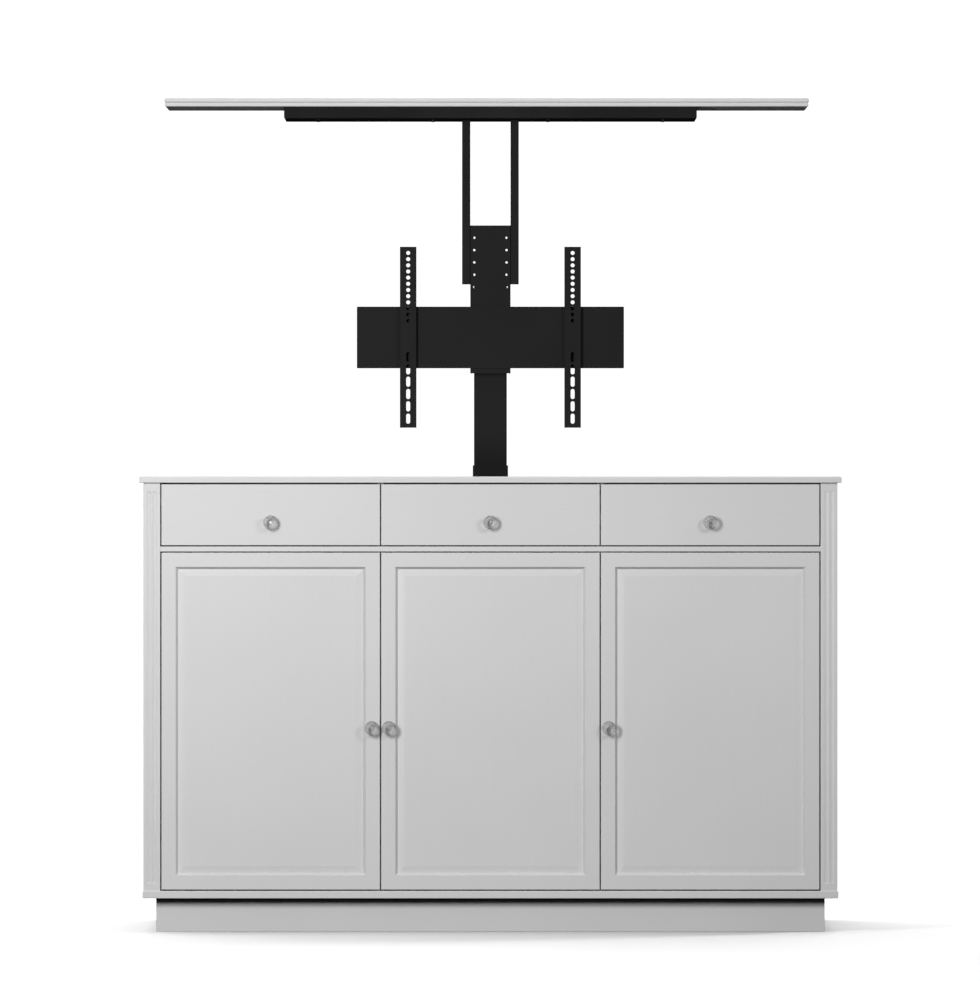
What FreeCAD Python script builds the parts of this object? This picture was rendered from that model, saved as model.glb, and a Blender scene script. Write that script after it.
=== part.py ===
import FreeCAD, Part
import math
import os

V = FreeCAD.Vector
os.makedirs("parts", exist_ok=True)

# ---------------------------------------------------------------- driving dimensions, mm
# The cabinet stands on z = 0. Depths are counted from the front plane of doors and drawers,
# which lies at y = FRONT_Y, towards the back (+Y).
FRONT_Y = -259.0          # puts the origin under the middle of the whole box, knobs included
DEPTH = 550.0             # front plane to back of the cabinet
HEIGHT = 1085.0           # floor to cabinet top
BODY_HALF = 826.0         # half width of the body
TOP_HALF = 836.0          # half width of the top
TOP_T = 15.0
TOP_FRONT = 10.0          # front overhang of the top
BASE_HALF = 828.5
BASE_T = 18.0
BASE_FRONT = 2.5
PLINTH_H = 80.5
PLINTH_HALF = 797.5
PLINTH_SET = 38.0         # plinth set back from the front plane
PANEL_T = 18.0            # side panels
BACK_T = 8.0
BACK_SET = 5.0            # back panel set in from the back edges of sides, top and base
POST_W = 40.0             # corner post, square
FLUTE_X = 6.6             # flute centres left and right of the post's middle
FLUTE_R = 13.0            # shallow cove, about 10 mm wide
FLUTE_DEPTH = 1.1
GAP = 2.8                 # gap between fronts
FRONT_W = (2 * (BODY_HALF - POST_W) - 4 * GAP) / 3   # three fronts and four gaps between the posts
PITCH = FRONT_W + GAP     # one front and one gap
FRONT_T = 20.0            # thickness of doors and drawer fronts
DRAWER_Z = (921.2, 1066.5)
RAIL_Z = (906.6, 918.4)
DOOR_Z = (101.5, 903.9)
DOOR_FRAME = 34.0         # flat border of a door
DOOR_STEP = 9.0           # depth of the routed step
DOOR_SLOPE = 5.6          # run of the step's slanted wall
DOOR_BEVEL = 16.0         # width of the bevel up to the raised field
DOOR_FIELD = 7.0          # raised field lies this far behind the border
PIVOT_X, PIVOT_Y = 6.0, 5.0   # door pivot from the hinge edge and from the front plane
PIVOT_R = 2.0
KNOB_DRAWER_Z = 975.5
KNOB_DOOR_Z = 486.5
KNOB_EDGE = 19.0          # door knob from the door's free edge
KNOB_R = 17.2
KNOB_OUT = 32.0           # how far a knob stands out
WALL_Y = (285.0, 301.0)   # wall between the storage and the screen well
DIVIDER_X = (254.0, 270.0)
SHELF_Z = (515.0, 531.0)
SLOT_HALF = 745.0         # opening in the top
SLOT_Y = (316.0, 508.0)

# lift, drawn fully raised
COL_Y = 475.0             # column axis, from the front plane
OUTER = (92.0, 72.0)
MIDDLE = (86.0, 66.0)
INNER = (80.0, 60.0)
WALL_OUT, WALL_MID, WALL_IN = 2.25, 2.25, 2.5
OUTER_Z = (104.5, 647.0)
MIDDLE_Z = (560.0, 1107.0)
INNER_Z = (1045.0, 1562.0)
COLLAR_OUT_H, COLLAR_MID_H = 8.0, 6.0
SPINDLE_R = 7.0
SPINDLE2_R, SPINDLE2_BORE = 11.0, 7.7
STROKE = 895.0            # both stages together
CHANNEL_HALF = 49.0
CHANNEL_Y = (409.0, 434.0)
CHANNEL_Z = (1337.0, 1697.0)
CHANNEL_T = 4.0
CHANNEL_HOLE_X = 39.3
CHANNEL_HOLE_R = 2.8
CHANNEL_PITCH = 30.0
PLATE_HALF = 325.0
PLATE_Y = (405.0, 409.0)
PLATE_Z = (1349.2, 1499.2)
ARM_X = 200.0             # arms 400 mm apart, the common 400 mm screen pattern
ARM_W = 40.0
ARM_Y = (390.0, 405.0)
ARM_Z = (1204.4, 1644.4)
ARM_T = 3.0
ARM_HOLE_R = 4.75
ARM_SLOT_L = 24.4
LIDPOST = 20.0
LIDPOST_Y = 411.0
LIDPOST_Z = 1554.0
TRAY_HALF = 500.0
TRAY_Y = (319.5, 500.0)
TRAY_Z = 1953.5
TRAY_T = 2.0
LID_X = -9.0              # the lid sits a little to the left
LID_HALF = 780.5
LID_Y = (308.0, 518.0)
LID_Z = (1981.5, 2002.0)
LID_SPLIT = 1991.8        # joint line between the two beads of its edge
LID_INSET = 1.3           # lower bead set in from the upper one


# ---------------------------------------------------------------- helpers
def box(x0, x1, y0, y1, z0, z1):
    """Box with y counted from the front plane."""
    return Part.makeBox(x1 - x0, y1 - y0, z1 - z0, V(x0, y0 + FRONT_Y, z0))


def cyl(r, h, x, y, z, d):
    return Part.makeCylinder(r, h, V(x, y + FRONT_Y, z), V(*d))


def rrect(wx, wy, r, x, y, z0, z1):
    """Upright prism with rounded corners, centred on x, y."""
    b = box(x - wx / 2, x + wx / 2, y - wy / 2, y + wy / 2, z0, z1)
    if r <= 0:
        return b
    ed = [e for e in b.Edges if abs(e.Vertexes[0].X - e.Vertexes[1].X) < 1e-6 and abs(e.Vertexes[0].Y - e.Vertexes[1].Y) < 1e-6]
    return b.makeFillet(r, ed)


def tube(wx, wy, wall, r, x, y, z0, z1):
    return rrect(wx, wy, r, x, y, z0, z1).cut(rrect(wx - 2 * wall, wy - 2 * wall, r - 1.0, x, y, z0 - 1, z1 + 1))


def pick(shape, test):
    return [e for e in shape.Edges if test(e.CenterOfMass, e.BoundBox)]


def fillet(shape, r, test):
    return shape.makeFillet(r, pick(shape, test))


def one(shape):
    """The single solid of a boolean result, with split faces merged."""
    s = shape.removeSplitter()
    return s.Solids[0] if len(s.Solids) == 1 else s


def frustum(a, b):
    """Solid between two rectangles (x0, x1, z0, z1, y), y counted from the front plane."""
    def loop(q):
        x0, x1, z0, z1, y = q
        y += FRONT_Y
        return [V(x0, y, z0), V(x1, y, z0), V(x1, y, z1), V(x0, y, z1)]
    return hull_rings([loop(a), loop(b)])


def hull_rings(rings):
    """Closed solid through polygons of equal count whose side faces are flat."""
    n = len(rings[0])
    faces = []
    for ra, rb in zip(rings, rings[1:]):
        for i in range(n):
            j = (i + 1) % n
            faces.append(Part.Face(Part.makePolygon([ra[i], ra[j], rb[j], rb[i], ra[i]])))
    for r in (rings[0], rings[-1]):
        faces.append(Part.Face(Part.makePolygon(r + [r[0]])))
    s = Part.makeSolid(Part.makeShell(faces))
    if s.Volume < 0:
        s.reverse()
    return s


PARTS = {}


def add(name, shape):
    solids = shape if isinstance(shape, list) else [shape]
    flat = []
    for s in solids:
        flat += s.Solids
    assert flat and all(s.isValid() and s.Volume > 0 for s in flat), name
    PARTS[name] = flat[0] if len(flat) == 1 else Part.makeCompound(flat)


# ---------------------------------------------------------------- carcass
top_z0 = HEIGHT - TOP_T
base_z1 = PLINTH_H + BASE_T

top = box(-TOP_HALF, TOP_HALF, -TOP_FRONT, DEPTH, top_z0, HEIGHT)
edge_of_top = lambda c, b: (abs(c.y - (FRONT_Y - TOP_FRONT)) < 1e-3 or abs(abs(c.x) - TOP_HALF) < 1e-3)
top = fillet(top, 4.5, lambda c, b: edge_of_top(c, b) and b.ZLength < 1e-3 and c.z > HEIGHT - 1e-3)
top = fillet(top, 1.5, lambda c, b: edge_of_top(c, b) and b.ZLength < 1e-3 and c.z < top_z0 + 1e-3)
top = top.cut(rrect(2 * SLOT_HALF, SLOT_Y[1] - SLOT_Y[0], 6.0, 0, (SLOT_Y[0] + SLOT_Y[1]) / 2, top_z0 - 1, HEIGHT + 1))
add("top_board", one(top))

base = box(-BASE_HALF, BASE_HALF, -BASE_FRONT, DEPTH, PLINTH_H, base_z1)
base = fillet(base, 2.0, lambda c, b: (abs(c.y - (FRONT_Y - BASE_FRONT)) < 1e-3 or abs(abs(c.x) - BASE_HALF) < 1e-3) and b.ZLength < 1e-3)
base = base.cut(cyl(15.0, BASE_T + 2, 0, COL_Y, PLINTH_H - 1, (0, 0, 1)))

px = PLINTH_HALF
plinth_front = box(-px, px, PLINTH_SET, PLINTH_SET + 18, 0, PLINTH_H)
plinth_front = fillet(plinth_front, 1.5, lambda c, b: abs(c.y - (FRONT_Y + PLINTH_SET)) < 1e-3 and abs(abs(c.x) - px) < 1e-3)
add("plinth_front", plinth_front)
add("plinth_frame", [box(-px, px, DEPTH - 18, DEPTH, 0, PLINTH_H),
                     box(-px, -px + 18, PLINTH_SET + 18, DEPTH - 18, 0, PLINTH_H),
                     box(px - 18, px, PLINTH_SET + 18, DEPTH - 18, 0, PLINTH_H)])

side_panels, corner_posts = [], []

for side, s in (("left", -1), ("right", 1)):
    x0, x1 = sorted((s * (BODY_HALF - PANEL_T), s * BODY_HALF))
    side_panels.append(box(x0, x1, POST_W, DEPTH, base_z1, top_z0))
    # square corner post; two stopped flutes on its front, scooped out at both ends
    x0, x1 = sorted((s * (BODY_HALF - POST_W), s * BODY_HALF))
    post = box(x0, x1, 0, POST_W, base_z1, top_z0)
    post = fillet(post, 1.2, lambda c, b: abs(c.y - FRONT_Y) < 1e-3 and b.ZLength > 100)
    xm = (x0 + x1) / 2
    f0, f1 = base_z1 + 22.0, top_z0 - 24.0
    for dx in (-FLUTE_X, FLUTE_X):
        yc = FLUTE_DEPTH - FLUTE_R
        cutter = cyl(FLUTE_R, f1 - f0, xm + dx, yc, f0, (0, 0, 1))
        for z in (f0, f1):
            cutter = cutter.fuse(Part.makeSphere(FLUTE_R, V(xm + dx, yc + FRONT_Y, z)))
        post = post.cut(cutter)
    corner_posts.append(one(post))
add("side_panels", side_panels)
add("corner_posts", corner_posts)

inlet_x, inlet_z = 560.0, 150.0
back_y = DEPTH - BACK_SET  # outer face of the back panel
back = box(-BODY_HALF + PANEL_T, BODY_HALF - PANEL_T, back_y - BACK_T, back_y, base_z1, top_z0)
back = back.cut(box(inlet_x - 24, inlet_x + 24, back_y - BACK_T - 1, back_y + 1, inlet_z - 14, inlet_z + 14))
back = back.cut(cyl(30.0, BACK_T + 2, -inlet_x, back_y - BACK_T - 1, inlet_z + 20, (0, 1, 0)))
for i in range(-7, 8):
    slot = box(i * 24 - 4, i * 24 + 4, back_y - BACK_T - 1, back_y + 1, 880, 960)
    slot = fillet(slot, 3.9, lambda c, b: b.YLength > 5)
    back = back.cut(slot)
add("back_panel", one(back))
add("compartment_wall", box(-BODY_HALF + PANEL_T, BODY_HALF - PANEL_T, WALL_Y[0], WALL_Y[1], base_z1, top_z0))

shelf = box(-(BODY_HALF - POST_W), BODY_HALF - POST_W, 0, POST_W, *RAIL_Z).fuse(
    box(-(BODY_HALF - PANEL_T), BODY_HALF - PANEL_T, POST_W, WALL_Y[0], *RAIL_Z))
# upright dividers, two between the drawers and two between the door bays
add("dividers", [box(*sorted((s * DIVIDER_X[0], s * DIVIDER_X[1])), FRONT_T + 1.5, WALL_Y[0], *zz)
                 for zz in ((RAIL_Z[1], top_z0), (base_z1, RAIL_Z[0])) for s in (-1, 1)])

# loose shelves behind the doors, each on four pins
in_x = BODY_HALF - PANEL_T
bays = [(-in_x, -DIVIDER_X[1]), (-DIVIDER_X[0], DIVIDER_X[0]), (DIVIDER_X[1], in_x)]
add("door_shelves", [fillet(box(a + 1, b - 1, 46, WALL_Y[0] - 3, *SHELF_Z), 1.5, lambda c, q: abs(c.y - (FRONT_Y + 46)) < 1e-3 and q.XLength > 100) for a, b in bays])
pins = []
for a, b in bays:
    for yy in (80.0, 250.0):
        pins.append(cyl(3.0, 10.0, a, yy, SHELF_Z[0] - 3.0, (1, 0, 0)))
        pins.append(cyl(3.0, 10.0, b, yy, SHELF_Z[0] - 3.0, (-1, 0, 0)))
add("shelf_pins", pins)


# ---------------------------------------------------------------- knobs
def knob_glass(x, z):
    """Solid cut-glass knob: a round foot and neck, then a head of twelve flats in three tiers with a flat table in front."""
    n = 12
    rings = []
    for d, r in ((15.0, 9.0), (20.5, 16.2), (24.5, KNOB_R), (29.5, 12.0), (KNOB_OUT, 7.6)):
        rings.append([V(x + r * math.cos(2 * math.pi * (i + 0.5) / n), FRONT_Y - d, z + r * math.sin(2 * math.pi * (i + 0.5) / n)) for i in range(n)])
    head = hull_rings(rings)
    foot = cyl(8.0, 2.5, x, 0, z, (0, -1, 0))
    foot = fillet(foot, 1.0, lambda c, b: c.y < FRONT_Y - 2.3)
    neck = Part.makeCone(6.2, 4.8, 4.7, V(x, FRONT_Y - 2.3, z), V(0, -1, 0))
    neck = neck.fuse(Part.makeCone(4.8, 8.6, 8.3, V(x, FRONT_Y - 7.0, z), V(0, -1, 0)))
    return one(head.fuse(foot).fuse(neck).cut(cyl(2.05, 8.1, x, 0, z, (0, -1, 0))))


def knob_screw(x, z, back):
    """Screw through the front into the knob's foot, its head sunk behind."""
    return one(cyl(2.0, back + 8.0, x, -8.0, z, (0, 1, 0)).fuse(cyl(4.5, 2.0, x, back, z, (0, 1, 0))))


def screw_hole(x, z, back):
    return cyl(2.2, back + 2, x, -1, z, (0, 1, 0))


# ---------------------------------------------------------------- drawers
centres = (("left", -PITCH), ("center", 0.0), ("right", PITCH))
half = FRONT_W / 2
fixed_rails, spacers = [], []
RAIL_Y = (46.0, 283.0)
RZ = (965.0, 1005.0)       # height of the drawer slides
for name, xc in centres:
    front = box(xc - half, xc + half, 0, FRONT_T, *DRAWER_Z)
    front = fillet(front, 1.0, lambda c, b: abs(c.y - FRONT_Y) < 1e-3)
    front = front.cut(screw_hole(xc, KNOB_DRAWER_Z, FRONT_T))
    front = front.cut(cyl(5.0, 3.0, xc, FRONT_T - 2.6, KNOB_DRAWER_Z, (0, 1, 0)))
    add("drawer_%s_front" % name, one(front))
    add("drawer_%s_knob" % name, knob_glass(xc, KNOB_DRAWER_Z))
    # clear width of the bay between what carries the slides
    a = -(BODY_HALF - POST_W) if name == "left" else (-DIVIDER_X[0] if name == "center" else DIVIDER_X[1])
    b = -DIVIDER_X[1] if name == "left" else (DIVIDER_X[0] if name == "center" else BODY_HALF - POST_W)
    ba, bb = a + 13.0, b - 13.0
    bx = box(ba, bb, FRONT_T, 265, 935, 1040).cut(box(ba + 12, bb - 12, FRONT_T + 12, 253, 944, 1041))
    add("drawer_%s_box" % name, one(bx))
    moving = []
    for x, s in ((a, 1), (b, -1)):
        # fixed rail: open channel on the bay's wall; moving rail: bar on the drawer side
        o0, o1 = sorted((x, x + s * 12.0))
        c0, c1 = sorted((x + s * 1.6, x + s * 13.0))
        fixed_rails.append(one(box(o0, o1, *RAIL_Y, *RZ).cut(box(c0, c1, RAIL_Y[0] - 1, RAIL_Y[1] - 2, RZ[0] + 2, RZ[1] - 2))))
        m0, m1 = sorted((x + s * 3.0, x + s * 13.0))
        moving.append(box(m0, m1, RAIL_Y[0] + 2, 262, RZ[0] + 5, RZ[1] - 5))
    hardware = knob_screw(xc, KNOB_DRAWER_Z, FRONT_T - 2.4)
    add("drawer_%s_hardware" % name, [hardware] + moving)
spacers = [box(*sorted((s * (BODY_HALF - POST_W), s * (BODY_HALF - PANEL_T))), RAIL_Y[0], RAIL_Y[1], RZ[0] - 8, RZ[1] + 8) for s in (-1, 1)]
add("drawer_rails", fixed_rails)
add("rail_spacers", spacers)

# ---------------------------------------------------------------- doors
bushes, catches = [], []   # pivot bushes and magnet catches stay on the cabinet
for name, xc in centres:
    hinge_left = name == "left"
    x0, x1 = xc - half, xc + half
    z0, z1 = DOOR_Z
    d = box(x0, x1, 0, FRONT_T, z0, z1)
    d = fillet(d, 1.2, lambda c, b: abs(c.y - FRONT_Y) < 1e-3)
    f = DOOR_FRAME
    e = f + DOOR_SLOPE
    # routed panel: slanted step down from the border, then a bevel up to the raised field
    d = d.cut(frustum((x0 + f - DOOR_SLOPE / DOOR_STEP, x1 - f + DOOR_SLOPE / DOOR_STEP, z0 + f - DOOR_SLOPE / DOOR_STEP, z1 - f + DOOR_SLOPE / DOOR_STEP, -1.0),
                      (x0 + e, x1 - e, z0 + e, z1 - e, DOOR_STEP)))
    g = e + DOOR_BEVEL
    field = frustum((x0 + e, x1 - e, z0 + e, z1 - e, DOOR_STEP), (x0 + g, x1 - g, z0 + g, z1 - g, DOOR_FIELD))
    d = d.fuse(field)
    s = 1 if hinge_left else -1
    xh = x0 if hinge_left else x1          # hinge edge
    xf = x1 if hinge_left else x0          # free edge
    xp = xh + s * PIVOT_X
    xk = xf - s * KNOB_EDGE
    d = d.cut(screw_hole(xk, KNOB_DOOR_Z, FRONT_T))
    d = d.cut(cyl(5.0, 3.0, xk, FRONT_T - 2.6, KNOB_DOOR_Z, (0, 1, 0)))
    for z, dz in ((z0, 1), (z1, -1)):
        d = d.cut(cyl(PIVOT_R + 0.02, 20.0, xp, PIVOT_Y, z, (0, 0, dz)))
    add("door_" + name, one(d))
    add("door_%s_knob" % name, knob_glass(xk, KNOB_DOOR_Z))
    fit = [knob_screw(xk, KNOB_DOOR_Z, FRONT_T - 2.4)]
    # pivot pins out of the door's top and bottom edges, and the strike of the magnet catch
    fit.append(cyl(PIVOT_R, 20.0 + GAP + 9.0, xp, PIVOT_Y, z1 - 20.0, (0, 0, 1)))
    fit.append(cyl(PIVOT_R, 20.0 + (z0 - base_z1) + 11.0, xp, PIVOT_Y, z0 + 20.0, (0, 0, -1)))
    sx0, sx1 = sorted((xf - s * 14.0, xf - s * 50.0))
    fit.append(box(sx0, sx1, FRONT_T, FRONT_T + 1.2, 862, 878))
    add("door_%s_hardware" % name, fit)
    # bushes in the rail above and the base board below
    for zb, zt in ((RAIL_Z[0], RAIL_Z[0] + 10.0), (base_z1 - 12.0, base_z1)):
        bushes.append(cyl(3.5, zt - zb, xp, PIVOT_Y, zb, (0, 0, 1)).cut(cyl(PIVOT_R + 0.05, zt - zb + 2, xp, PIVOT_Y, zb - 1, (0, 0, 1))))
        if zb > 500:
            shelf = shelf.cut(cyl(3.5, zt - zb, xp, PIVOT_Y, zb, (0, 0, 1)))
        else:
            base = base.cut(cyl(3.5, zt - zb, xp, PIVOT_Y, zb, (0, 0, 1)))
    # magnet catch under the drawer shelf, just behind the strike
    cx0, cx1 = sorted((xf - s * 12.0, xf - s * 52.0))
    body = box(cx0, cx1, FRONT_T + 1.5, FRONT_T + 15.0, 858, 882)
    hanger = box(cx0 + 12, cx1 - 12, FRONT_T + 6.0, FRONT_T + 9.0, 882, RAIL_Z[0])
    catches.append(one(body.fuse(hanger)))
add("drawer_shelf", one(shelf))
add("base_board", one(base))
add("door_fittings", bushes + catches)

# ---------------------------------------------------------------- lift: fixed stage
cy = COL_Y
foot = box(-95, 95, cy - 70, cy + 60, base_z1, base_z1 + 6)
foot = fillet(foot, 8.0, lambda c, b: b.ZLength > 3)
foot = foot.cut(cyl(12.0, 8, 0, cy, base_z1 - 1, (0, 0, 1)))
foot_bolts = []
for sx in (-78, 78):
    for sy in (cy - 52, cy + 50):
        foot = foot.cut(cyl(4.3, 8, sx, sy, base_z1 - 1, (0, 0, 1)))
        six = [V(sx + 7.5 * math.cos(k * math.pi / 3), sy + FRONT_Y + 7.5 * math.sin(k * math.pi / 3), base_z1 + 6) for k in range(6)]
        hexagon = Part.Face(Part.makePolygon(six + [six[0]])).extrude(V(0, 0, 5.3))
        foot_bolts.append(one(cyl(4.0, 14.0, sx, sy, base_z1 - 8.0, (0, 0, 1)).fuse(hexagon)))
        PARTS["base_board"] = one(PARTS["base_board"].cut(cyl(4.05, 8.2, sx, sy, base_z1 - 8.1, (0, 0, 1))))
add("column_foot", one(foot))
add("foot_bolts", foot_bolts)
add("column_outer_tube", one(tube(OUTER[0], OUTER[1], WALL_OUT, 4.0, 0, cy, *OUTER_Z)))
add("outer_collar", one(rrect(OUTER[0], OUTER[1], 4.0, 0, cy, OUTER_Z[1], OUTER_Z[1] + COLLAR_OUT_H).cut(
    rrect(MIDDLE[0] + 0.8, MIDDLE[1] + 0.8, 3.6, 0, cy, OUTER_Z[1] - 1, OUTER_Z[1] + COLLAR_OUT_H + 1))))

# drive under the base board, inside the plinth: gearbox and a motor lying beside it
gear = box(-48, 48, cy - 42, cy + 42, 26, PLINTH_H)
gear = fillet(gear, 5.0, lambda c, b: b.ZLength > 20)
gear = gear.cut(cyl(SPINDLE_R + 0.4, 60.0, 0, cy, 44.0, (0, 0, 1)))
add("drive_gearbox", one(gear))
motor = cyl(25.0, 128.0, 48.0, cy, 53.0, (1, 0, 0))
motor = motor.fuse(cyl(22.0, 12.0, 176.0, cy, 53.0, (1, 0, 0)))
motor = fillet(one(motor), 2.0, lambda c, b: c.x > 187)
add("drive_motor", motor)
thread = cyl(SPINDLE_R, 640.0 - 46.0, 0, cy, 46.0, (0, 0, 1))
thread = fillet(thread, 1.5, lambda c, b: c.z > 600)
add("drive_spindle", thread)
ctrl = box(330, 500, 445, 530, base_z1, base_z1 + 44)
ctrl = fillet(ctrl, 5.0, lambda c, b: b.ZLength > 20)
ctrl = fillet(ctrl, 2.0, lambda c, b: c.z > base_z1 + 43.9)
add("control_box", ctrl)
inlet = box(inlet_x - 24, inlet_x + 24, back_y - 30, back_y, inlet_z - 14, inlet_z + 14)
well = fillet(box(inlet_x - 12.5, inlet_x + 12.5, back_y - 18, back_y + 1, inlet_z - 8.2, inlet_z + 8.2), 2.0, lambda c, b: b.YLength > 10)
inlet = inlet.cut(well)
for dx, dz in ((-7, -1.5), (0, 2.5), (7, -1.5)):
    inlet = inlet.fuse(box(inlet_x + dx - 1, inlet_x + dx + 1, back_y - 19, back_y - 6, inlet_z + dz - 2, inlet_z + dz + 2))
add("mains_inlet", one(inlet))

# ---------------------------------------------------------------- lift: middle stage
add("column_middle_tube", one(tube(MIDDLE[0], MIDDLE[1], WALL_MID, 4.0, 0, cy, *MIDDLE_Z)))
add("middle_collar", one(rrect(MIDDLE[0], MIDDLE[1], 4.0, 0, cy, MIDDLE_Z[1], MIDDLE_Z[1] + COLLAR_MID_H).cut(
    rrect(INNER[0] + 0.8, INNER[1] + 0.8, 3.6, 0, cy, MIDDLE_Z[1] - 1, MIDDLE_Z[1] + COLLAR_MID_H + 1))))
mx, my = MIDDLE[0] - 2 * WALL_MID, MIDDLE[1] - 2 * WALL_MID
add("lower_nut", one(rrect(mx, my, 3.0, 0, cy, MIDDLE_Z[0], MIDDLE_Z[0] + 18).cut(cyl(SPINDLE_R + 0.3, 30, 0, cy, MIDDLE_Z[0] - 5, (0, 0, 1)))))
up = cyl(SPINDLE2_R, 1092.0 - 579.0, 0, cy, 579.0, (0, 0, 1)).cut(cyl(SPINDLE2_BORE, 1100.0 - 570.0, 0, cy, 575.0, (0, 0, 1)))
add("upper_spindle", one(up))

# ---------------------------------------------------------------- lift: inner stage
add("column_inner_tube", one(tube(INNER[0], INNER[1], WALL_IN, 4.0, 0, cy, *INNER_Z)))
ix, iy = INNER[0] - 2 * WALL_IN, INNER[1] - 2 * WALL_IN
add("upper_nut", one(rrect(ix, iy, 3.0, 0, cy, INNER_Z[0], INNER_Z[0] + 18).cut(cyl(SPINDLE2_R + 0.3, 30, 0, cy, INNER_Z[0] - 5, (0, 0, 1)))))
head = box(-INNER[0] / 2, INNER[0] / 2, CHANNEL_Y[0] + CHANNEL_T, cy + INNER[1] / 2, INNER_Z[1], INNER_Z[1] + 8)
add("head_plate", head)

ch = box(-CHANNEL_HALF, CHANNEL_HALF, CHANNEL_Y[0], CHANNEL_Y[1], *CHANNEL_Z).cut(
    box(-CHANNEL_HALF + CHANNEL_T, CHANNEL_HALF - CHANNEL_T, CHANNEL_Y[0] + CHANNEL_T, CHANNEL_Y[1] + 1, CHANNEL_Z[0] - 1, CHANNEL_Z[1] + 1))
ch = fillet(ch, 1.5, lambda c, b: abs(c.y - (FRONT_Y + CHANNEL_Y[0])) < 1e-3 and abs(abs(c.x) - CHANNEL_HALF) < 1e-3)
for k in range(1, 6):
    for s in (-1, 1):
        ch = ch.cut(cyl(CHANNEL_HOLE_R, CHANNEL_T + 2, s * CHANNEL_HOLE_X, CHANNEL_Y[0] - 1, CHANNEL_Z[1] - k * CHANNEL_PITCH, (0, 1, 0)))
post_z = [CHANNEL_Z[1] - 30.0, CHANNEL_Z[1] - 120.0]
py = LIDPOST_Y + LIDPOST / 2
for z in post_z:
    for s in (-1, 1):
        ch = ch.cut(cyl(3.2, CHANNEL_T + 2, s * (CHANNEL_HALF - CHANNEL_T - 1), py, z, (s, 0, 0)))
add("lift_channel", one(ch))

plate = box(-PLATE_HALF, PLATE_HALF, PLATE_Y[0], PLATE_Y[1], *PLATE_Z)
plate = fillet(plate, 2.0, lambda c, b: b.YLength > 3 and abs(abs(c.x) - PLATE_HALF) < 1e-3)
add("screen_plate", plate)

arm_bolts, lid_posts = [], []
for side, s in (("left", -1), ("right", 1)):
    xc = s * ARM_X
    arm = box(xc - ARM_W / 2, xc + ARM_W / 2, ARM_Y[0], ARM_Y[1], *ARM_Z).cut(
        box(xc - ARM_W / 2 + ARM_T, xc + ARM_W / 2 - ARM_T, ARM_Y[0] + ARM_T, ARM_Y[1] + 1, ARM_Z[0] - 1, ARM_Z[1] + 1))
    arm = fillet(arm, 1.2, lambda c, b: abs(c.y - (FRONT_Y + ARM_Y[0])) < 1e-3 and b.ZLength > 300)
    for k in range(1, 13):
        arm = arm.cut(cyl(ARM_HOLE_R, ARM_T + 2, xc, ARM_Y[0] - 1, ARM_Z[1] - 15.0 * k, (0, 1, 0)))
    for k in range(6):
        zc = ARM_Z[1] - (418.0 - 30.0 * k)
        hl = ARM_SLOT_L / 2 - ARM_HOLE_R
        slot = box(xc - ARM_HOLE_R, xc + ARM_HOLE_R, ARM_Y[0] - 1, ARM_Y[0] + ARM_T + 1, zc - hl, zc + hl)
        for z in (zc - hl, zc + hl):
            slot = slot.fuse(cyl(ARM_HOLE_R, ARM_T + 2, xc, ARM_Y[0] - 1, z, (0, 1, 0)))
        arm = arm.cut(slot)
    add("screen_arm_" + side, one(arm))
    # two bolts hold each arm to the plate, their heads inside the arm's channel
    for dz in (-50.0, 50.0):
        z = (PLATE_Z[0] + PLATE_Z[1]) / 2 + dz
        for dx in (-10.5,):
            arm_bolts.append(cyl(4.6, 4.0, xc + dx, ARM_Y[1] - 4.0, z, (0, 1, 0)))
    # square lid post beside the channel
    x0, x1 = sorted((s * CHANNEL_HALF, s * (CHANNEL_HALF + LIDPOST)))
    xm = (x0 + x1) / 2
    p = tube(LIDPOST, LIDPOST, 1.5, 2.0, xm, py, LIDPOST_Z, TRAY_Z)
    for z in post_z:
        p = p.cut(cyl(3.2, 4.0, s * (CHANNEL_HALF - 1), py, z, (s, 0, 0)))
    lid_posts.append(one(p))
add("lid_posts", lid_posts)
bolts = []
for z in post_z:
    for s in (-1, 1):
        # head inside the lift channel, nut inside the hollow post
        x_in = CHANNEL_HALF - CHANNEL_T
        shank = cyl(3.0, CHANNEL_T + 9.0, s * x_in, py, z, (s, 0, 0))
        cap = cyl(5.5, 4.0, s * (x_in - 4.0), py, z, (s, 0, 0))
        cap = fillet(cap, 1.2, lambda c, b: abs(c.x) < x_in - 3.5)
        nut = cyl(5.5, 4.5, s * (CHANNEL_HALF + 1.5), py, z, (s, 0, 0))
        bolts.append(one(shank.fuse(cap).fuse(nut)))

# lid on a shallow pressed tray
tray = box(-TRAY_HALF, TRAY_HALF, TRAY_Y[0], TRAY_Y[1], TRAY_Z, LID_Z[0])
tray = fillet(tray, 2.5, lambda c, b: c.z < TRAY_Z + 1e-3)
tray = tray.cut(box(-TRAY_HALF + TRAY_T, TRAY_HALF - TRAY_T, TRAY_Y[0] + TRAY_T, TRAY_Y[1] - TRAY_T, TRAY_Z + TRAY_T, LID_Z[0] + 1))
ribs = [box(x - 12, x + 12, TRAY_Y[0] + TRAY_T, TRAY_Y[1] - TRAY_T, TRAY_Z + TRAY_T, LID_Z[0]) for x in (-420, -140, 140, 420)]
for r in ribs:
    tray = tray.fuse(r)
screws = []
for x in (-420, -140, 140, 420):
    for yy in (TRAY_Y[0] + 40, TRAY_Y[1] - 40):
        tray = tray.cut(cyl(2.3, 40, x, yy, TRAY_Z - 1, (0, 0, 1)))
        h = cyl(4.5, 2.4, x, yy, TRAY_Z, (0, 0, -1))
        h = fillet(h, 1.0, lambda c, b: c.z < TRAY_Z - 2.3)
        screws.append(one(h.fuse(cyl(2.2, LID_Z[0] - TRAY_Z, x, yy, TRAY_Z, (0, 0, 1)))))
add("lid_tray", one(tray))
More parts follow.
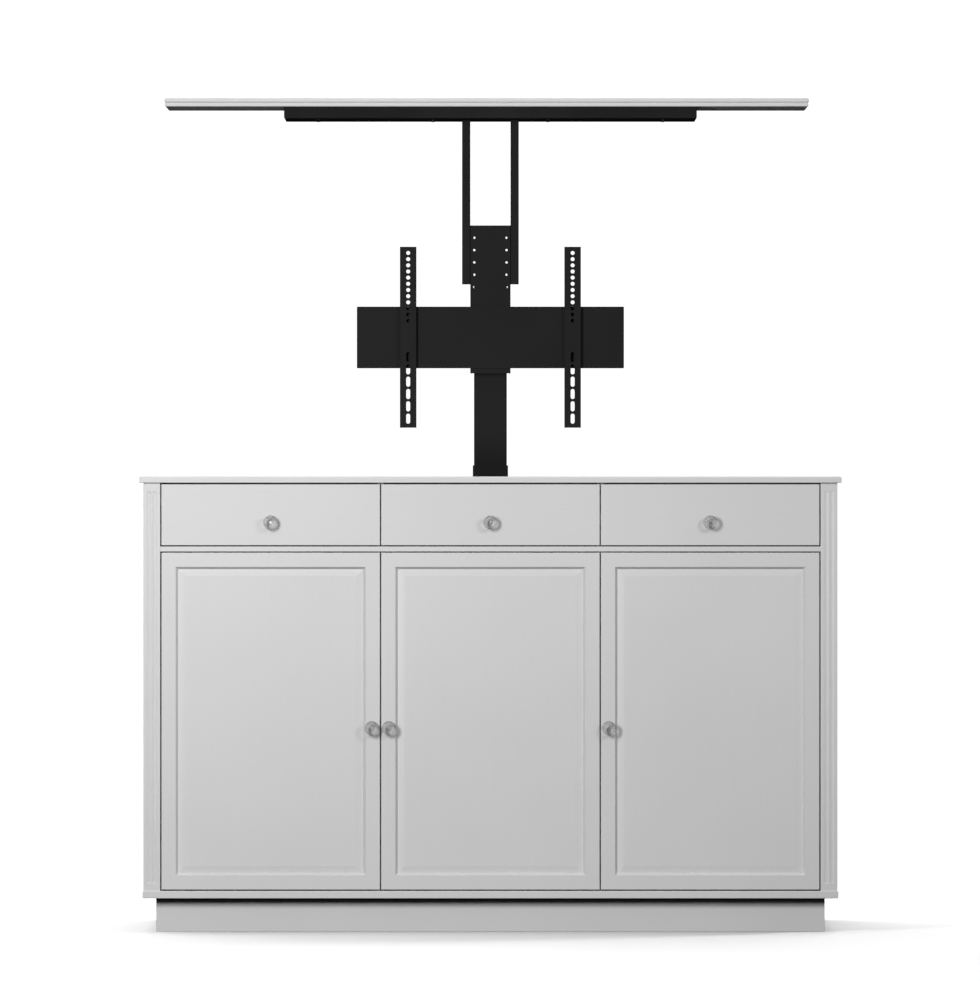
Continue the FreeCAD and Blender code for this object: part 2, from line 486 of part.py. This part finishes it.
add("lift_fasteners", arm_bolts + bolts + screws)

lx0, lx1 = LID_X - LID_HALF, LID_X + LID_HALF
upper = box(lx0, lx1, LID_Y[0], LID_Y[1], LID_SPLIT, LID_Z[1])
upper = fillet(upper, 2.0, lambda c, b: b.ZLength > 5)
upper = fillet(upper, 5.0, lambda c, b: c.z > LID_Z[1] - 1e-3)
upper = fillet(upper, 3.4, lambda c, b: c.z < LID_SPLIT + 1e-3)
i = LID_INSET
lower = box(lx0 + i, lx1 - i, LID_Y[0] + i, LID_Y[1] - i, LID_Z[0], LID_SPLIT)
lower = fillet(lower, 2.0, lambda c, b: b.ZLength > 5)
lower = fillet(lower, 3.4, lambda c, b: c.z > LID_SPLIT - 1e-3)
lower = fillet(lower, 3.4, lambda c, b: c.z < LID_Z[0] + 1e-3)
add("lid", one(upper.fuse(lower)))

# ---------------------------------------------------------------- write the parts
total = None
for name, shape in PARTS.items():
    shape.exportStep("parts/%s.step" % name)
    total = shape.BoundBox if total is None else total.united(shape.BoundBox)
print(len(PARTS), "nodes", "box", [round(v, 2) for v in (total.XMin, total.XMax, total.YMin, total.YMax, total.ZMin, total.ZMax)])
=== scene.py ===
import bpy, bmesh
import math
from mathutils import Vector, Matrix


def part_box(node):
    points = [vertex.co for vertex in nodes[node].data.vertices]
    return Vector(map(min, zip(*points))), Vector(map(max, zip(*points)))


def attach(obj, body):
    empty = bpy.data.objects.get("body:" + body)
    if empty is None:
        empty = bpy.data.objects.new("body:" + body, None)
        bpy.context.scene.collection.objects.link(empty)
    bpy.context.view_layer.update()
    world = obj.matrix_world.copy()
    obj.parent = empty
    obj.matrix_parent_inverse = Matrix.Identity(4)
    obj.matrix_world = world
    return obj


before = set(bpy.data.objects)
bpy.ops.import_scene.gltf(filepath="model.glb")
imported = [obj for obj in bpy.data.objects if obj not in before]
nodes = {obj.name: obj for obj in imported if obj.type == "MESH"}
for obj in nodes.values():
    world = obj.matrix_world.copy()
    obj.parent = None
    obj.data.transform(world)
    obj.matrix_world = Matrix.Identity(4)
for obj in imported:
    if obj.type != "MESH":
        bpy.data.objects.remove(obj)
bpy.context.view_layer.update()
scene = bpy.context.scene


# ------------------------------------------------------------------ node helpers
class Mat:
    """A material under construction: one principled shader and the patterns that feed it."""

    def __init__(self, name):
        self.m = bpy.data.materials.new(name)
        self.m.use_nodes = True
        self.nt = self.m.node_tree
        self.nt.nodes.clear()
        self.out = self.nt.nodes.new("ShaderNodeOutputMaterial")
        self.bsdf = self.nt.nodes.new("ShaderNodeBsdfPrincipled")
        self.link(self.bsdf.outputs[0], self.out.inputs["Surface"])
        self.tc = self.nt.nodes.new("ShaderNodeTexCoord")

    def link(self, a, b):
        self.nt.links.new(a, b)

    def set(self, **kw):
        for k, v in kw.items():
            self.bsdf.inputs[k.replace("_", " ")].default_value = v

    def vec(self, scale=(1, 1, 1), rot=(0, 0, 0), kind="Object"):
        n = self.nt.nodes.new("ShaderNodeMapping")
        self.link(self.tc.outputs[kind], n.inputs["Vector"])
        n.inputs["Scale"].default_value = scale
        n.inputs["Rotation"].default_value = rot
        return n.outputs[0]

    def noise(self, vec, scale, detail=3.0, rough=0.5, distortion=0.0):
        n = self.nt.nodes.new("ShaderNodeTexNoise")
        self.link(vec, n.inputs["Vector"])
        n.inputs["Scale"].default_value = scale
        n.inputs["Detail"].default_value = detail
        n.inputs["Roughness"].default_value = rough
        n.inputs["Distortion"].default_value = distortion
        return n.outputs["Fac"]

    def voronoi(self, vec, scale, feature="F1"):
        n = self.nt.nodes.new("ShaderNodeTexVoronoi")
        n.feature = feature
        self.link(vec, n.inputs["Vector"])
        n.inputs["Scale"].default_value = scale
        return n.outputs["Distance"]

    def wave(self, vec, scale, distortion=0.0, detail=2.0, direction="X"):
        n = self.nt.nodes.new("ShaderNodeTexWave")
        n.bands_direction = direction
        self.link(vec, n.inputs["Vector"])
        n.inputs["Scale"].default_value = scale
        n.inputs["Distortion"].default_value = distortion
        n.inputs["Detail"].default_value = detail
        return n.outputs["Fac"]

    def ramp(self, fac, stops):
        n = self.nt.nodes.new("ShaderNodeValToRGB")
        el = n.color_ramp.elements
        while len(el) < len(stops):
            el.new(0.5)
        for e, (p, c) in zip(el, stops):
            e.position = p
            e.color = (c[0], c[1], c[2], 1.0)
        self.link(fac, n.inputs["Fac"])
        return n.outputs["Color"]

    def remap(self, fac, a, b, c, d):
        n = self.nt.nodes.new("ShaderNodeMapRange")
        self.link(fac, n.inputs["Value"])
        for i, v in zip(("From Min", "From Max", "To Min", "To Max"), (a, b, c, d)):
            n.inputs[i].default_value = v
        return n.outputs["Result"]

    def math(self, op, a, b=None):
        n = self.nt.nodes.new("ShaderNodeMath")
        n.operation = op
        for i, v in enumerate((a, b)):
            if v is None:
                continue
            if isinstance(v, (int, float)):
                n.inputs[i].default_value = v
            else:
                self.link(v, n.inputs[i])
        return n.outputs[0]

    def mix(self, fac, a, b):
        n = self.nt.nodes.new("ShaderNodeMix")
        n.data_type = "RGBA"
        for i, v in ((0, fac), (6, a), (7, b)):
            if isinstance(v, (int, float)):
                n.inputs[i].default_value = v
            elif isinstance(v, tuple):
                n.inputs[i].default_value = (v[0], v[1], v[2], 1.0)
            else:
                self.link(v, n.inputs[i])
        return n.outputs[2]

    def split(self, socket):
        n = self.nt.nodes.new("ShaderNodeSeparateXYZ")
        self.link(socket, n.inputs[0])
        return n.outputs

    def bump(self, height, strength, distance, normal=None):
        n = self.nt.nodes.new("ShaderNodeBump")
        n.inputs["Strength"].default_value = strength
        n.inputs["Distance"].default_value = distance
        self.link(height, n.inputs["Height"])
        if normal is not None:
            self.link(normal, n.inputs["Normal"])
        return n.outputs["Normal"]

    def color(self, socket):
        self.link(socket, self.bsdf.inputs["Base Color"])

    def rough(self, socket):
        self.link(socket, self.bsdf.inputs["Roughness"])

    def normal(self, socket):
        self.link(socket, self.bsdf.inputs["Normal"])


# ------------------------------------------------------------------ materials
def painted_board(name, grain, base=0.70, gloss=0.44, spec=0.38, relief=0.10, underside_painted_shade=None):
    """Satin paint over board: faint grain telegraphing through along one direction, roller stipple, slow tone drift. A
    board may have its downward faces painted darker: painted shade, standing in for the shade under the board.
    """
    m = Mat(name)
    s = [430.0, 430.0, 430.0]
    s["xyz".index(grain)] = 9.0
    g = m.noise(m.vec(tuple(s)), 1.0, 4.0, 0.62, 0.4)
    slow = m.noise(m.vec(), 2.6, 2.0)
    stipple = m.noise(m.vec(), 620.0, 2.0, 0.55)
    tone = m.math("ADD", m.math("MULTIPLY", g, 0.45), m.math("MULTIPLY", slow, 0.55))
    lo, hi = base * 0.982, base * 1.018
    c = m.ramp(tone, [(0.36, (lo, lo, lo * 0.998)), (0.64, (hi, hi, hi * 0.996))])
    # downward faces take a darker colour: painted shade under the board
    if underside_painted_shade:
        geo = m.nt.nodes.new("ShaderNodeNewGeometry")
        c = m.mix(m.remap(m.split(geo.outputs["Normal"])[2], -0.85, -0.97, 0.0, 1.0), c, m.ramp(g, [(0.3, underside_painted_shade[0]), (0.7, underside_painted_shade[1])]))
    m.color(c)
    m.rough(m.remap(m.math("ADD", stipple, slow), 0.6, 1.4, gloss - 0.05, gloss + 0.07))
    n = m.bump(stipple, 0.10, 0.00025)
    m.normal(m.bump(g, relief, 0.00022, n))
    m.set(Specular_IOR_Level=spec)
    return m.m


def powder_coat(name, base=0.0125, gloss=0.52, spec=0.30):
    """Fine black powder coat: slight orange peel, small sparkle of roughness, dusty drift."""
    m = Mat(name)
    peel = m.voronoi(m.vec(), 900.0, "SMOOTH_F1")
    fine = m.noise(m.vec(), 1500.0, 2.0)
    slow = m.noise(m.vec(), 7.0, 3.0)
    lo, hi = base * 0.86, base * 1.16
    m.color(m.ramp(slow, [(0.32, (lo, lo, lo)), (0.7, (hi, hi, hi * 1.02))]))
    m.rough(m.remap(m.math("ADD", fine, slow), 0.6, 1.4, gloss - 0.05, gloss + 0.08))
    n = m.bump(peel, 0.10, 0.0002)
    m.normal(m.bump(fine, 0.06, 0.0001, n))
    m.set(Specular_IOR_Level=spec)
    return m.m


def plated(name, color, r0, r1, scale=60.0, stretch=(1, 1, 1), drift=0.04, gap_shade_pins=False):
    """Plated metal: fine blotches, slow drift of tone. Door fixings have their pivot pins at the top and bottom edges
    painted near-black: painted shade of the door gap they sit in.
    """
    m = Mat(name)
    a = m.noise(m.vec(stretch), scale, 4.0, 0.6)
    b = m.noise(m.vec(), 9.0, 2.0)
    lo = tuple(c * (1 - drift) for c in color)
    hi = tuple(min(1.0, c * (1 + drift)) for c in color)
    c = m.ramp(m.math("ADD", m.math("MULTIPLY", a, 0.5), m.math("MULTIPLY", b, 0.5)), [(0.35, lo), (0.65, hi)])
    # pivot pins at the top and bottom edges, in the door gap, are painted near-black: painted shade of the gap
    if gap_shade_pins:
        z = m.split(m.tc.outputs["Object"])[2]
        pin_gap_shade_mask = m.math("GREATER_THAN", m.math("ABSOLUTE", m.math("SUBTRACT", z, 0.5405)), 0.3405)
        c = m.mix(pin_gap_shade_mask, c, m.ramp(a, [(0.35, (0.020, 0.020, 0.021)), (0.65, (0.034, 0.034, 0.036))]))
    m.color(c)
    m.rough(m.remap(a, 0.3, 0.7, r0, r1))
    m.normal(m.bump(a, 0.04, 0.00008))
    m.set(Metallic=1.0)
    return m.m


def moulded(name, base, gloss, tint=(1.0, 1.0, 1.0), scale=1100.0):
    m = Mat(name)
    spark = m.noise(m.vec(), scale, 2.0, 0.6)
    slow = m.noise(m.vec(), 11.0, 2.0)
    lo = tuple(base * 0.9 * t for t in tint)
    hi = tuple(base * 1.08 * t for t in tint)
    m.color(m.ramp(slow, [(0.35, lo), (0.66, hi)]))
    m.rough(m.remap(spark, 0.3, 0.7, gloss - 0.06, gloss + 0.06))
    m.normal(m.bump(spark, 0.10, 0.00012))
    m.set(Specular_IOR_Level=0.42)
    return m.m


def cut_glass(name):
    """Clear cut glass. Light goes through the middle of a knob and is turned aside round it, so its shadow is a ring."""
    m = Mat(name)
    s = m.noise(m.vec(), 240.0, 2.0)
    geo = m.nt.nodes.new("ShaderNodeNewGeometry")
    # upward-facing front facets are painted darker grey: a painted reflection of the dark surroundings
    top_facets_painted_reflection = m.math("MULTIPLY", m.remap(m.split(geo.outputs["Normal"])[2], 0.22, 0.62, 0.0, 1.0), m.math("SUBTRACT", 1.0, geo.outputs["Backfacing"]))
    clean = m.ramp(s, [(0.3, (0.95, 0.96, 0.96)), (0.7, (0.98, 0.985, 0.985))])
    m.color(m.mix(top_facets_painted_reflection, clean, (0.28, 0.29, 0.29)))
    m.rough(m.remap(s, 0.3, 0.7, 0.0, 0.03))
    m.set(Transmission_Weight=1.0, IOR=1.5)
    gen = m.split(m.tc.outputs["Generated"])
    dx, dz = m.math("SUBTRACT", gen[0], 0.5), m.math("SUBTRACT", gen[2], 0.5)
    r = m.math("MULTIPLY", m.math("SQRT", m.math("ADD", m.math("MULTIPLY", dx, dx), m.math("MULTIPLY", dz, dz))), 2.0)
    lw = m.nt.nodes.new("ShaderNodeLayerWeight")
    lw.inputs["Blend"].default_value = 0.5
    clear = m.nt.nodes.new("ShaderNodeBsdfTransparent")
    clear.inputs["Color"].default_value = (0.985, 0.99, 0.99, 1.0)
    body = m.nt.nodes.new("ShaderNodeMixShader")
    dense = m.ramp(lw.outputs["Facing"], [(0.0, (0.05,) * 3), (0.10, (0.10,) * 3), (0.18, (0.22,) * 3), (0.32, (0.27,) * 3), (0.50, (0.18,) * 3), (0.75, (0.25,) * 3), (1.0, (0.6,) * 3)])
    m.link(m.math("MAXIMUM", dense, m.math("MULTIPLY", top_facets_painted_reflection, 0.5)), body.inputs[0])
    m.link(clear.outputs[0], body.inputs[1])
    m.link(m.bsdf.outputs[0], body.inputs[2])
    cast = m.nt.nodes.new("ShaderNodeBsdfTransparent")
    m.link(m.ramp(r, [(0.50, (1.0,) * 3), (0.60, (0.76,) * 3), (0.74, (0.38,) * 3), (0.88, (0.30,) * 3), (1.0, (0.62,) * 3)]), cast.inputs["Color"])
    lp = m.nt.nodes.new("ShaderNodeLightPath")
    both = m.nt.nodes.new("ShaderNodeMixShader")
    m.link(lp.outputs["Is Camera Ray"], both.inputs[0])
    m.link(cast.outputs[0], both.inputs[1])
    m.link(body.outputs[0], both.inputs[2])
    m.link(both.outputs[0], m.out.inputs["Surface"])
    return m.m


def birch_ply(name):
    """Clear lacquered birch plywood: long grain on the faces, thin glued layers on the upper edges."""
    m = Mat(name)
    grain = m.noise(m.vec((7.0, 7.0, 150.0)), 1.0, 5.0, 0.62, 0.8)
    floor = m.noise(m.vec((6.0, 170.0, 6.0)), 1.0, 5.0, 0.62, 0.8)
    geo = m.nt.nodes.new("ShaderNodeNewGeometry")
    up = m.math("ABSOLUTE", m.split(geo.outputs["Normal"])[2])
    flat = m.math("GREATER_THAN", up, 0.7)
    pores = m.noise(m.vec((60.0, 60.0, 900.0)), 1.0, 2.0)
    both = m.math("ADD", m.math("MULTIPLY", grain, m.math("SUBTRACT", 1.0, flat)), m.math("MULTIPLY", floor, flat))
    c = m.ramp(both, [(0.30, (0.50, 0.35, 0.20)), (0.46, (0.66, 0.50, 0.32)), (0.60, (0.72, 0.57, 0.38)), (0.74, (0.62, 0.46, 0.29))])
    c = m.mix(m.math("MULTIPLY", pores, 0.12), c, (0.42, 0.28, 0.16))
    gen = m.split(m.tc.outputs["Generated"])
    obj = m.split(m.tc.outputs["Object"])
    side = m.math("LESS_THAN", m.math("MINIMUM", gen[0], m.math("SUBTRACT", 1.0, gen[0])), 0.0235)
    across = m.math("ADD", m.math("MULTIPLY", obj[0], side), m.math("MULTIPLY", obj[1], m.math("SUBTRACT", 1.0, side)))
    ply = m.math("GREATER_THAN", m.math("SINE", m.math("MULTIPLY", across, 2 * math.pi / 0.0026)), 0.1)
    rim = m.math("MULTIPLY", flat, m.math("GREATER_THAN", gen[2], 0.97))
    c = m.mix(m.math("MULTIPLY", rim, m.math("MULTIPLY", ply, 0.55)), c, (0.33, 0.20, 0.10))
    m.color(c)
    m.rough(m.remap(both, 0.3, 0.7, 0.42, 0.56))
    m.normal(m.bump(both, 0.12, 0.0003))
    m.set(Specular_IOR_Level=0.4)
    return m.m


PAINT_V = painted_board("paint_upright_grain", "z")
PAINT_H = painted_board("paint_level_grain", "x")
# the base board's underside is painted near-black: painted shade in the corner under its overhang, against the plinth
PAINT_BASE_SHADED_UNDERSIDE = painted_board("paint_base_board_painted_shade_under", "x", underside_painted_shade=((0.022, 0.020, 0.018), (0.034, 0.031, 0.028)))
# the lid's paint is a lighter copy of the board paint: painted light, for the lid standing higher in the lamps; its
# underside is painted grey: painted shade
PAINT_LID_LIT_SHADED = painted_board("paint_lid_painted_light_and_shade", "x", 0.775, 0.5, 0.10, 0.03, underside_painted_shade=((0.46, 0.46, 0.455), (0.50, 0.50, 0.495)))
PAINT_IN = painted_board("paint_inside", "z", 0.68, 0.5)
BLACK = powder_coat("black_powder_coat", 0.0112, 0.56, 0.10)
# the column's coat is a darker copy of the black coat: painted shade, balanced against the low front lamp that lights
# the column
BLACK_TUBE_SHADED = powder_coat("black_column_coat_painted_shade", 0.0050, 0.52, 0.08)
# the tray's coat is a lighter copy of the black coat without specular: its raised colour is painted reflection, in
# place of the sheen it lacks
BLACK_TRAY_LIT = powder_coat("black_tray_coat_painted_reflection", 0.0215, 0.70, 0.0)
NICKEL = plated("bright_nickel", (0.72, 0.705, 0.67), 0.38, 0.50, 45.0)
NICKEL_PIN_GAP_SHADE = plated("nickel_with_pins_in_painted_gap_shade", (0.72, 0.705, 0.67), 0.38, 0.50, 45.0, gap_shade_pins=True)
ZINC = plated("zinc_plate", (0.60, 0.61, 0.63), 0.26, 0.40, 90.0, (1, 1, 4), 0.10)
ALLOY = plated("cast_alloy", (0.42, 0.42, 0.43), 0.45, 0.6, 260.0, (1, 1, 1), 0.08)
GLASS = cut_glass("clear_cut_glass")
PLY = birch_ply("birch_ply")
BLACK_PL = moulded("black_moulded", 0.018, 0.5)
WHITE_PL = moulded("white_moulded", 0.72, 0.38, (1.0, 0.99, 0.95))

LOOK = {}
for n in ("corner_posts", "side_panels", "door_left", "door_center", "door_right", "dividers"):
    LOOK[n] = PAINT_V
for n in ("top_board", "base_board", "plinth_front", "plinth_frame", "drawer_shelf", "drawer_left_front", "drawer_center_front", "drawer_right_front"):
    LOOK[n] = PAINT_H
for n in ("compartment_wall", "back_panel", "door_shelves"):
    LOOK[n] = PAINT_IN
LOOK["lid"] = PAINT_LID_LIT_SHADED
LOOK["base_board"] = PAINT_BASE_SHADED_UNDERSIDE
for n in ("lift_channel", "screen_plate", "screen_arm_left", "screen_arm_right", "lid_posts", "head_plate", "column_foot", "lift_fasteners", "drive_motor"):
    LOOK[n] = BLACK
for n in ("column_inner_tube", "column_middle_tube", "column_outer_tube", "middle_collar"):
    LOOK[n] = BLACK_TUBE_SHADED
LOOK["lid_tray"] = BLACK_TRAY_LIT
for n in ("foot_bolts", "shelf_pins", "drawer_rails", "drive_spindle", "upper_spindle"):
    LOOK[n] = ZINC
for k in ("left", "center", "right"):
    LOOK["drawer_%s_knob" % k] = LOOK["door_%s_knob" % k] = GLASS
    LOOK["drawer_%s_hardware" % k] = NICKEL
    LOOK["door_%s_hardware" % k] = NICKEL_PIN_GAP_SHADE
    LOOK["drawer_%s_box" % k] = PLY
LOOK["rail_spacers"] = PLY
for n in ("outer_collar", "control_box", "mains_inlet"):
    LOOK[n] = BLACK_PL
for n in ("lower_nut", "upper_nut", "door_fittings"):
    LOOK[n] = WHITE_PL
LOOK["drive_gearbox"] = ALLOY

for name, o in nodes.items():
    o.data.materials.clear()
    o.data.materials.append(LOOK[name])


# ------------------------------------------------------------------ fittings on the back
def mesh_piece(name, verts, faces, mat, body, smooth=True):
    me = bpy.data.meshes.new(name)
    me.from_pydata([tuple(v) for v in verts], [], faces)
    bm = bmesh.new()
    bm.from_mesh(me)
    bmesh.ops.recalc_face_normals(bm, faces=bm.faces)
    bm.to_mesh(me)
    bm.free()
    for f in me.polygons:
        f.use_smooth = smooth
    me.materials.append(mat)
    o = bpy.data.objects.new(name, me)
    scene.collection.objects.link(o)
    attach(o, body)
    return o


def ring_faces(rings, n, first=0, closed=False):
    """Quads between neighbouring rings of n points; closed joins the last ring to the first."""
    out = []
    pairs = [(k, k + 1) for k in range(rings - 1)] + ([(rings - 1, 0)] if closed else [])
    for a, b in pairs:
        for i in range(n):
            j = (i + 1) % n
            out.append((first + a * n + i, first + a * n + j, first + b * n + j, first + b * n + i))
    return out


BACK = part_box("back_panel")[1][1]       # outer face of the back panel

# cable grommet: a sleeve in the panel's hole with a rounded flange outside
N = 72
gx, gz = -0.560, 0.170
prof = [(0.0296, -0.0085), (0.0296, -0.0002), (0.0352, -0.0001), (0.0360, 0.0006), (0.0362, 0.0014), (0.0358, 0.0023), (0.0349, 0.0029),
        (0.0335, 0.0032), (0.0312, 0.0033), (0.0297, 0.0031), (0.0289, 0.0025), (0.0286, 0.0014), (0.0286, -0.0078), (0.0289, -0.0085)]
verts = [(gx + r * math.cos(2 * math.pi * i / N), BACK + d, gz + r * math.sin(2 * math.pi * i / N)) for r, d in prof for i in range(N)]
mesh_piece("cable_grommet", verts, ring_faces(len(prof), N, closed=True), BLACK_PL, "cabinet")

# two cross-recessed screws hold the mains inlet
cross = []
w, l = 0.00042, 0.00150
corner = [(w, l), (w, w), (l, w), (l, -w), (w, -w), (w, -l), (-w, -l), (-w, -w), (-l, -w), (-l, w), (-w, w), (-w, l)]
for k, (x0, z0) in enumerate(corner):
    x1, z1 = corner[(k + 1) % 12]
    cross += [(x0, z0), ((x0 + x1) / 2, (z0 + z1) / 2)]
lo_in, hi_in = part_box("mains_inlet")
verts, faces = [], []
for sx in (-0.0195, 0.0195):
    cx, cz = (lo_in[0] + hi_in[0]) / 2 + sx, (lo_in[2] + hi_in[2]) / 2
    first = len(verts)
    for r, d in ((0.00300, 0.0), (0.00305, 0.0004), (0.00290, 0.0010), (0.00250, 0.0015), (0.00195, 0.0018)):
        for x, z in cross:
            t = math.atan2(z, x)
            verts.append((cx + r * math.cos(t), hi_in[1] + d, cz + r * math.sin(t)))
    for d in (0.0019, 0.0007):
        verts += [(cx + x, hi_in[1] + d, cz + z) for x, z in cross]
    faces += ring_faces(7, 24, first)
    faces.append(tuple(first + 6 * 24 + i for i in range(24)))
    faces.append(tuple(first + i for i in range(24)))
mesh_piece("mains_inlet_screws", verts, faces, ZINC, "cabinet", False)


# ------------------------------------------------------------------ stage
def plane(name, size, z, y=0.0):
    me = bpy.data.meshes.new(name)
    s = size
    me.from_pydata([(-s, y - s, z), (s, y - s, z), (s, y + s, z), (-s, y + s, z)], [], [(0, 1, 2, 3)])
    o = bpy.data.objects.new(name, me)
    scene.collection.objects.link(o)
    return o


floor = plane("floor", 4.0, -0.0004)
fm = Mat("floor_white")
fs = fm.noise(fm.vec(), 1.5, 2.0)
fm.color(fm.ramp(fs, [(0.3, (0.90, 0.90, 0.90)), (0.7, (0.91, 0.91, 0.91))]))
fm.set(Roughness=0.9, Specular_IOR_Level=0.0)
# the floor thins out with distance from the part, into the white around it
far = fm.nt.nodes.new("ShaderNodeVectorMath")
far.operation = "LENGTH"
fm.link(fm.tc.outputs["Object"], far.inputs[0])
gone = fm.nt.nodes.new("ShaderNodeBsdfTransparent")
thin = fm.nt.nodes.new("ShaderNodeMixShader")
fade = fm.nt.nodes.new("ShaderNodeMapRange")
fade.interpolation_type = "SMOOTHSTEP"
fm.link(far.outputs["Value"], fade.inputs["Value"])
fade.inputs["From Min"].default_value = 1.3
fade.inputs["From Max"].default_value = 2.3
fm.link(fade.outputs["Result"], thin.inputs[0])
fm.link(fm.bsdf.outputs[0], thin.inputs[1])
fm.link(gone.outputs[0], thin.inputs[2])
fm.link(thin.outputs[0], fm.out.inputs["Surface"])
floor.data.materials.append(fm.m)
floor.visible_diffuse = False
floor.visible_glossy = False
floor.visible_transmission = False

world = bpy.data.worlds.new("studio")
scene.world = world
world.use_nodes = True
wt = world.node_tree
wt.nodes.clear()
wout = wt.nodes.new("ShaderNodeOutputWorld")
seen = wt.nodes.new("ShaderNodeBackground")
seen.inputs["Color"].default_value = (1, 1, 1, 1)
seen.inputs["Strength"].default_value = 1.06
dome = wt.nodes.new("ShaderNodeBackground")
tc = wt.nodes.new("ShaderNodeTexCoord")
sep = wt.nodes.new("ShaderNodeSeparateXYZ")
mr = wt.nodes.new("ShaderNodeMapRange")
wt.links.new(tc.outputs["Generated"], sep.inputs[0])
wt.links.new(sep.outputs[2], mr.inputs["Value"])
mr.inputs["From Min"].default_value = 0.02
mr.inputs["From Max"].default_value = 0.20
mr.inputs["To Min"].default_value = 0.004
mr.inputs["To Max"].default_value = 0.25
wt.links.new(mr.outputs["Result"], dome.inputs["Strength"])
lp = wt.nodes.new("ShaderNodeLightPath")
wm = wt.nodes.new("ShaderNodeMixShader")
wt.links.new(lp.outputs["Is Camera Ray"], wm.inputs[0])
wt.links.new(dome.outputs[0], wm.inputs[1])
wt.links.new(seen.outputs[0], wm.inputs[2])
wt.links.new(wm.outputs[0], wout.inputs["Surface"])


def area(name, loc, target, sx, sy, power, only=None, skip=(), turn=False):
    """Soft box for the part without the skipped nodes, or for the listed objects only. The floor has lamps of its own, so that its white and its shadow are set apart from the part's."""
    d = bpy.data.lights.new(name, "AREA")
    d.shape = "RECTANGLE"
    d.size, d.size_y = sx, sy
    d.energy = power
    o = bpy.data.objects.new(name, d)
    scene.collection.objects.link(o)
    o.location = loc
    if turn or only != [floor]:
        o.rotation_euler = (Vector(target) - Vector(loc)).to_track_quat("-Z", "Y").to_euler()
    o.visible_camera = False
    c = bpy.data.collections.new(name + "_lights")
    for x in only or [floor] + [nodes[n] for n in skip]:
        c.objects.link(x)
    if only is None:
        for x in c.collection_objects:
            x.light_linking.link_state = "EXCLUDE"
    o.light_linking.receiver_collection = c
    return o


area("key", (-1.45, -3.76, 1.66), (0.0, -0.26, 1.0), 0.6, 1.18, 101)
area("fill", (2.3, -3.7, 2.15), (0.0, -0.26, 0.95), 0.7, 0.8, 38)
area("top", (-0.3, 0.2, 4.4), (0.0, 0.0, 1.0), 3.0, 2.0, 30)
area("side_left", (-4.0, 1.3, 3.0), (-0.8, 0.0, 0.8), 1.6, 1.6, 72)
area("side_right", (4.0, 1.3, 3.0), (0.8, 0.0, 0.8), 1.6, 1.6, 72)
area("back", (0.9, 4.8, 2.4), (0.0, 0.3, 0.8), 2.4, 1.8, 110, skip=("top_board", "lid"))
area("low_front", (0.0, -4.6, 0.38), (0.0, 0.2, 1.2), 1.6, 0.72, 70, [nodes[n] for n in ("column_inner_tube", "column_middle_tube", "middle_collar")])
area("floor_back", (-1.466, 1.092, 2.602), (-1.466, 1.092, 0.0), 6.973, 1.767, 143, [floor])
area("floor_front", (0.08, -1.157, 3.942), (0.08, -1.157, 0.0), 5.028, 4.406, 44, [floor])
area("floor_left", (-6.0, 0.03, 2.6), (0.0, 0.0, 0.0), 1.4, 1.4, 73, [floor], turn=True)
area("floor_front_left", (-3.5, -3.5, 3.0), (0.0, 0.0, 0.0), 1.2, 1.2, 109, [floor], turn=True)
area("floor_far", (0.4, -2.4, 1.2), (0.4, -2.4, 0.0), 5.0, 0.6, 4.5, [floor])
area("floor_right", (6.0, 2.0, 2.6), (0.0, 0.0, 0.0), 1.4, 1.4, 264, [floor], turn=True)

# ------------------------------------------------------------------ camera
cam = bpy.data.cameras.new("camera")
cam.lens = 277.5
cam.sensor_width = 36.0
cam.clip_start, cam.clip_end = 0.1, 400.0
co = bpy.data.objects.new("camera", cam)
scene.collection.objects.link(co)
co.location = (-0.001, -18.259, 1.0517)
co.rotation_euler = (math.radians(90), 0, 0)
scene.camera = co

scene.view_settings.view_transform = "Standard"
scene.view_settings.look = "None"
scene.view_settings.exposure = 0.0
scene.view_settings.gamma = 1.0
